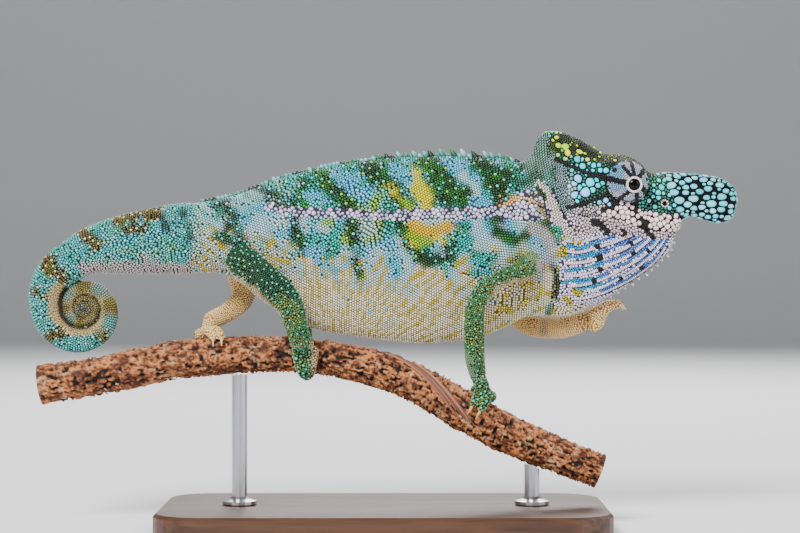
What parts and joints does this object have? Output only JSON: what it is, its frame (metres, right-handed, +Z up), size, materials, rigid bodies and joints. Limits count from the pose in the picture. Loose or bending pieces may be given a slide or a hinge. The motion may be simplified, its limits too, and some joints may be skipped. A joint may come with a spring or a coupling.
{
  "type": "rhinoceros chameleon display model",
  "caption": "Still, life-size chameleon with a scaly nose horn and a coiled tail, gripping a cut branch on a small display stand.",
  "frame": {"origin": "middle of the underside of the stand's base, under the middle of the whole model", "axes": "+X from tail to snout, +Y towards the animal's left side, +Z up"},
  "size_m": [0.1844, 0.062, 0.1023],
  "materials": {
    "flank_skin": "satin scales, blue-green with dark green bands and yellow",
    "head_skin": "satin scales, yellow-green and turquoise plates on black",
    "throat_skin": "satin scales, white with blue grooves",
    "horn_skin": "satin plates, pale turquoise on black",
    "tail_skin": "satin scales, pale blue with olive bands",
    "eyelid_skin": "fine satin scales with black rays",
    "eyeball": "wet gloss",
    "right_leg_skin": "satin scales, dark green with bright spots",
    "left_leg_skin": "satin scales, tan and yellow",
    "claws": "horn, satin",
    "bark": "rough bark",
    "stand_board": "satin stained",
    "stand_steel": "brushed"
  },
  "bodies": {
    "root": {"torso": "flank_skin", "neck": "flank_skin", "head": "head_skin", "lower_jaw_and_throat": "throat_skin", "horn": "horn_skin", "tail_base": "tail_skin", "tail_curve": "tail_skin", "tail_coil_outer": "tail_skin", "tail_coil_middle": "tail_skin", "tail_tip": "tail_skin", "eye_turret_right": "eyelid_skin", "eye_turret_left": "eyelid_skin", "eyeball_right": "eyeball", "eyeball_left": "eyeball", "hind_leg_right_thigh": "right_leg_skin", "hind_leg_right_shin": "right_leg_skin", "hind_foot_right": "right_leg_skin", "foreleg_right_upper_arm": "right_leg_skin", "foreleg_right_forearm": "right_leg_skin", "forefoot_right": "right_leg_skin", "hind_leg_left_thigh": "left_leg_skin", "hind_leg_left_shin": "left_leg_skin", "hind_foot_left": "left_leg_skin", "foreleg_left_upper_arm": "left_leg_skin", "foreleg_left_forearm": "left_leg_skin", "forefoot_left": "left_leg_skin", "perch_branch": "bark", "stand_base": "stand_board", "stand_rod_left": "stand_steel", "stand_rod_right": "stand_steel"}
  },
  "joints": []
}
